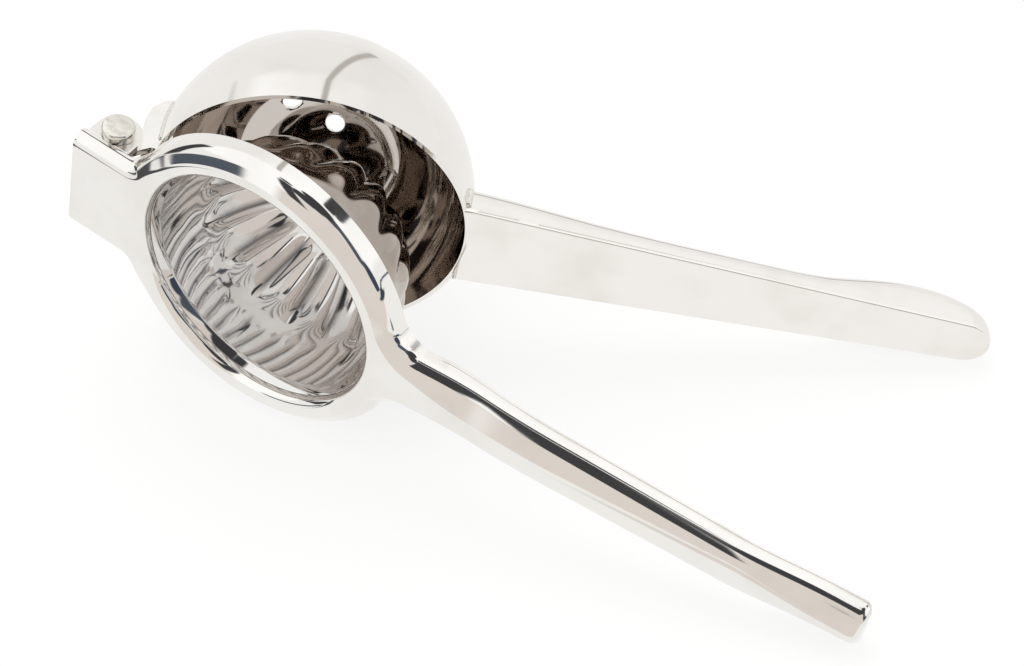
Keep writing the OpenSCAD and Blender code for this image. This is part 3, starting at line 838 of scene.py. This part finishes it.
# weld beads: the collar of the dome, the bracket's cheeks and the sides of the cup's handle

welds = {"around": 10, "endShare": 0.35, "aside": (0.31, 0.17, 0.93),
         "dome": {"r": 0.75, "ripple": 0.2, "pitch": 1.6, "steps": 180, "out": 0.7, "up": 0.2},
         "bracket": {"r": 0.495, "ripple": 0.12, "pitch": 1.1, "steps": 28, "from": 2, "to": 1, "out": 0.15},
         "grip": {"r": 0.935, "ripple": 0.12, "pitch": 1.1, "steps": 12, "gap": 0.2, "along": 0.1, "out": 0.05}}


def addBead(bm, spots, bead):
    # a ring of vertices carried along the spots, swelling at each pass of the torch
    far = 0.0
    rings = []
    angles = [2 * math.pi * k / welds["around"] for k in range(welds["around"])]
    for i, spot in enumerate(spots):
        along = (spots[min(i + 1, len(spots) - 1)] - spots[max(i - 1, 0)]).normalized()
        across = along.cross(Vector(welds["aside"])).normalized()
        up = along.cross(across)
        if i:
            far += (spot - spots[i - 1]).length
        size = bead["r"] * (1 - bead["ripple"] + bead["ripple"] * abs(math.sin(math.pi * far / bead["pitch"])))
        if i in (0, len(spots) - 1):
            size *= welds["endShare"]
        ring = [spot + across * (size * math.cos(a)) + up * (size * math.sin(a)) for a in angles]
        if rings:
            rings.append(rowAfter(bm, rings[-1], closed=True))
            placeRow(rings[-1], ring)
        else:
            rings.append(startRow(bm, ring))
            bm.edges.new((rings[0][-1], rings[0][0]))
    for end in (rings[0], rings[-1]):
        bm.faces.new(end)


def makeWeld(name, lay, body, node, paths, bead):
    bm = bmesh.new()
    for spots in paths:
        addBead(bm, spots, bead)
    bmesh.ops.recalc_face_normals(bm, faces=bm.faces)
    finishPiece(bm, name, lay, body, node, ["weldSteel"], edge=None)


def domeBeadPath(bead):
    r = openingR + bead["out"]
    y = press["lipRound"] + press["lipCollar"] - press["faceH"] + bead["up"]
    turns = [2 * math.pi * i / bead["steps"] for i in range(bead["steps"] + 1)]
    return [Vector((reach + r * math.cos(a), y, r * math.sin(a))) for a in turns]


def bracketBeadPath(bead, side):
    out = bracket["cheekOut"]
    depths = [mix(bead["from"], bracket["cheekD"] - bead["to"], i / bead["steps"]) for i in range(bead["steps"] + 1)]
    return [Vector((cupWallX(y, out), y, side * (out + bead["out"]))) for y in depths]


def gripBeadPath(bead, side):
    corner = reach + math.sqrt(cup["r"] ** 2 - grip["rootH"] ** 2)
    x, z = corner + bead["along"], gripHalf(corner) + bead["out"]
    return [Vector((x, mix(bead["gap"], cup["collar"] - bead["gap"], i / bead["steps"]), side * z))
            for i in range(bead["steps"] + 1)]


makeWeld("domeWeld", pressLay, "press_half", "dome_weld", [domeBeadPath(welds["dome"])], welds["dome"])
makeWeld("bracketWeld", cupLay, "cup_half", "bracket_weld",
         [bracketBeadPath(welds["bracket"], side) for side in (-1, 1)], welds["bracket"])
makeWeld("gripWeld", cupLay, "cup_half", "cup_handle_weld",
         [gripBeadPath(welds["grip"], side) for side in (-1, 1)], welds["grip"])

# camera, placed from the press half: side, rise and roll in degrees, place in millimetres

view = {"side": 24.30, "up": 49.60, "roll": 13.12, "place": (309.77, -432.45, 588.72), "lens": 112.0, "sensor": 36}


def makeCamera():
    side, up, roll = (math.radians(view[key]) for key in ("side", "up", "roll"))
    ahead = Vector((-math.sin(side) * math.cos(up), math.cos(side) * math.cos(up), -math.sin(up)))
    right = Vector((math.cos(side), math.sin(side), 0))
    down = ahead.cross(right)
    c, s = math.cos(roll), math.sin(roll)
    right, down = right * c - down * s, right * s + down * c
    turn = pressLay.to_3x3().normalized()
    columns = Matrix((turn @ right, -(turn @ down), -(turn @ ahead))).transposed()
    data = bpy.data.cameras.new("viewCamera")
    data.lens = view["lens"]
    data.sensor_width = view["sensor"]
    camera = bpy.data.objects.new("viewCamera", data)
    camera.matrix_world = Matrix.Translation(pressLay @ Vector(view["place"])) @ columns.to_4x4()
    bpy.context.scene.collection.objects.link(camera)
    bpy.context.scene.camera = camera


makeCamera()

# floor, world and lamp: white paper in a pale room, and the tones that the polished steel mirrors

# the room's front faces this many degrees from +X, and shadowShare is how much of the shadow the paper shows
studio = {"facing": -66.06043883, "floorHalf": 3.0, "paper": (0.93, 0.925, 0.91, 1), "shadowShare": 0.19,
          "lampPower": 9.0, "lampSize": 1.2, "lampPlace": (-0.5, 0.6, 1.5), "mirrorings": 8}
white = (1, 1, 1, 1)
room = {"soft": (0.94, 0.933, 0.915, 1), "bright": (1.1, 1.1, 1.085, 1), "warm": (0.77, 0.718, 0.667, 1),
        "back": (0.92, 0.905, 0.89, 1), "beam": (0.52, 0.49, 0.46, 1), "slate": (0.085, 0.1, 0.125, 1),
        "smoke": (0.078, 0.078, 0.082, 1), "dark": (0.052, 0.052, 0.055, 1), "blue": (0.05, 0.066, 0.094, 1)}
# on the table: X where a tone starts and is full, Y likewise, Y where it starts to fade and is gone, tone
floorZones = [(-0.01, 0.03, -0.085, -0.1, -4, -5, "warm"), (-0.175, -0.2, -0.14, -0.115, 0, 0.05, "smoke"),
              (0.34, 0.4, -0.31, -0.25, 0.06, 0.14, "blue"), (0.8, 1.1, -0.31, -0.25, 0.5, 0.7, "blue")]
# round the table: side, rise, radius of the full tone, radius where it ends, tone
patches = [(-120, 70, 36, 44, "bright"), (140, 66, 26, 32, "bright"), (84, 26, 16, 22, "bright"),
           (-62, 40, 16, 26, "bright"), (-8, 20, 34, 41, "warm"), (20, 10, 20, 30, "warm"), (10, 48, 16, 22, "warm"),
           (160, 10, 25, 50, "back"), (-41, 39, 2.5, 5, "bright"), (60, 89, 4, 6, "smoke"), (50, 8, 12, 15, "blue"),
           (54, 53, 11, 14, "dark"), (78, 62, 12, 15, "dark"), (25, 68, 12, 15, "dark"), (2, 66, 8, 11, "dark"),
           (107, 42, 4.2, 5.5, "dark"), (102, 36, 3, 4.2, "dark")]
# bands: start, end, half the full width, half the whole width, reach of the full tone and of the whole, tone
bands = [((58, 50), (38, 16), 7.5, 10, 16, 21, "slate"), ((-34.5, 30), (-32, 84), 3.6, 7.2, 25, 28, "dark"),
         ((-70, 27), (-105, 0), 2.4, 4.4, 19, 25, "slate"), ((-144, 31), (-112, 1), 6.5, 9, 17, 23, "dark"),
         ((162, -14), (159, 56), 0.5, 2.2, 31, 40, "beam")]


def makeFloor():
    bm = bmesh.new()
    bmesh.ops.create_grid(bm, x_segments=1, y_segments=1, size=studio["floorHalf"])
    mesh = bpy.data.meshes.new("floor")
    bm.to_mesh(mesh)
    bm.free()
    floor = bpy.data.objects.new("floor", mesh)
    bpy.context.scene.collection.objects.link(floor)
    material, bench = newMaterial("paper")
    seen = bench.wire("LightPath", output="Is Camera Ray")
    glossy = bench.wire("LightPath", output="Is Glossy Ray")
    place = bench.wire("TexCoord", output="Object")
    x, y = (bench.wire("SeparateXYZ", None, {0: place}, axis) for axis in ("X", "Y"))
    shown = room["soft"]
    for xFrom, xFull, yFrom, yFull, yFade, yGone, tone in floorZones:
        mask = bench.spread(x, xFrom, xFull) * bench.spread(y, yFrom, yFull) * bench.spread(y, yGone, yFade)
        shown = bench.blendColours(mask, shown, room[tone])
    paper = bench.wire("BsdfDiffuse", None, {"Color": studio["paper"]})
    glow = bench.wire("Emission", None, {"Color": bench.blendColours(glossy, white, shown), "Strength": 1.0})
    surface = bench.wire("MixShader", None, {0: seen * (1 - studio["shadowShare"]) + glossy, 1: paper, 2: glow})
    bench.add("OutputMaterial", None, {"Surface": surface})
    mesh.materials.append(material)


makeFloor()


def cosine(degrees):
    return math.cos(math.radians(degrees))


def sineSquare(degrees):
    return math.sin(math.radians(degrees)) ** 2


def compass(side, up):
    # a direction by its angle to the right of where the room's front faces, and its rise, in degrees
    turn, rise = math.radians(studio["facing"] + side), math.radians(up)
    return Vector((math.cos(rise) * math.cos(turn), math.cos(rise) * math.sin(turn), math.sin(rise)))


def makeWorld():
    world = bpy.data.worlds.new("studio")
    bpy.context.scene.world = world
    world.use_nodes = True
    bench = Bench(world.node_tree)
    glossy = bench.wire("LightPath", output="Is Glossy Ray")
    way = bench.wire("TexCoord", output="Generated")
    sight = room["soft"]
    for side, up, full, end, tone in patches:
        mask = bench.spread(bench.dot(way, compass(side, up)), cosine(end), cosine(full))
        sight = bench.blendColours(mask, sight, room[tone])
    for start, end, full, width, reached, gone, tone in bands:
        start, end = compass(*start), compass(*end)
        off = bench.dot(way, start.cross(end).normalized())
        along = bench.dot(way, (start + end).normalized())
        mask = bench.spread(off * off, sineSquare(width), sineSquare(full))
        mask *= bench.spread(along, cosine(gone), cosine(reached))
        sight = bench.blendColours(mask, sight, room[tone])
    sky = bench.blendColours(glossy, white, sight)
    surface = bench.wire("Background", None, {"Color": sky, "Strength": 1.0})
    bench.add("OutputWorld", None, {"Surface": surface})


makeWorld()


def makeLamp():
    data = bpy.data.lights.new("softBox", "AREA")
    data.shape = "SQUARE"
    data.size = studio["lampSize"]
    data.energy = studio["lampPower"]
    lamp = bpy.data.objects.new("softBox", data)
    place = Vector(studio["lampPlace"])
    lamp.matrix_world = Matrix.Translation(place) @ place.to_track_quat("Z", "Y").to_matrix().to_4x4()
    lamp.visible_glossy = False
    bpy.context.scene.collection.objects.link(lamp)


makeLamp()
bpy.context.scene.view_settings.view_transform = "Standard"
bpy.context.scene.cycles.glossy_bounces = studio["mirrorings"]  # the cup's inside mirrors itself many times
print("studio ready")
